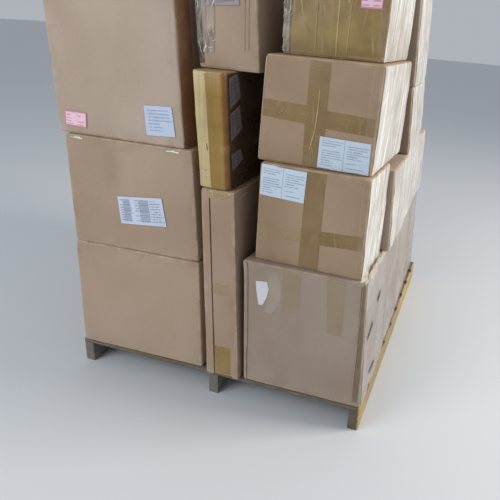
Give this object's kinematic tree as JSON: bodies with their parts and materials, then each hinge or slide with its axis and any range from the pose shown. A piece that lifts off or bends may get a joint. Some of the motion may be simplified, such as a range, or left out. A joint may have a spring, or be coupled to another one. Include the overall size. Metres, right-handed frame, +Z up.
{
  "type": "shrink wrapped pallet load",
  "caption": "Loaded wooden pallet: taped and plain corrugated cartons stacked in columns on a stringer pallet, with a first turn of clear stretch film.",
  "frame": {"origin": "middle of the pallet's underside, on the floor", "axes": "+Z up, +Y from the labelled front of the load to its back, +X to the right seen from the front"},
  "size_m": [1.0255, 1.214, 1.339],
  "materials": {
    "pallet_wood": "rough sawn",
    "kraft_board": "matte kraft",
    "taped_board": "kraft under tan packing tape",
    "stretch_film": "clear and glossy, creased"
  },
  "bodies": {
    "root": {"carton_back_lower_1": "kraft_board", "carton_back_lower_2": "kraft_board", "carton_back_lower_3": "kraft_board", "carton_back_second_1": "kraft_board", "carton_back_second_2": "kraft_board", "carton_back_second_3": "kraft_board", "carton_back_third_1": "kraft_board", "carton_back_third_2": "kraft_board", "carton_back_top_1": "kraft_board", "carton_back_top_2": "kraft_board", "carton_cap_front": "kraft_board", "carton_cap_rear": "kraft_board", "carton_left_lower_front": "kraft_board", "carton_left_lower_rear": "kraft_board", "carton_left_middle_front": "kraft_board", "carton_left_middle_rear": "kraft_board", "carton_left_upper_front": "kraft_board", "carton_left_upper_rear": "kraft_board", "carton_right_lower": "kraft_board", "carton_right_second": "kraft_board", "carton_right_third": "kraft_board", "carton_right_top": "taped_board", "carton_slim_front": "kraft_board", "carton_slim_rear": "kraft_board", "carton_taped_1": "taped_board", "carton_taped_2": "taped_board", "carton_taped_3": "taped_board", "carton_taped_4": "taped_board", "deck_board_1": "pallet_wood", "deck_board_2": "pallet_wood", "deck_board_3": "pallet_wood", "deck_board_4": "pallet_wood", "deck_board_5": "pallet_wood", "deck_board_6": "pallet_wood", "deck_board_7": "pallet_wood", "deck_board_8": "pallet_wood", "deck_board_9": "pallet_wood", "stretch_film": "stretch_film", "stringer_centre": "pallet_wood", "stringer_left": "pallet_wood", "stringer_right": "pallet_wood"}
  },
  "joints": []
}
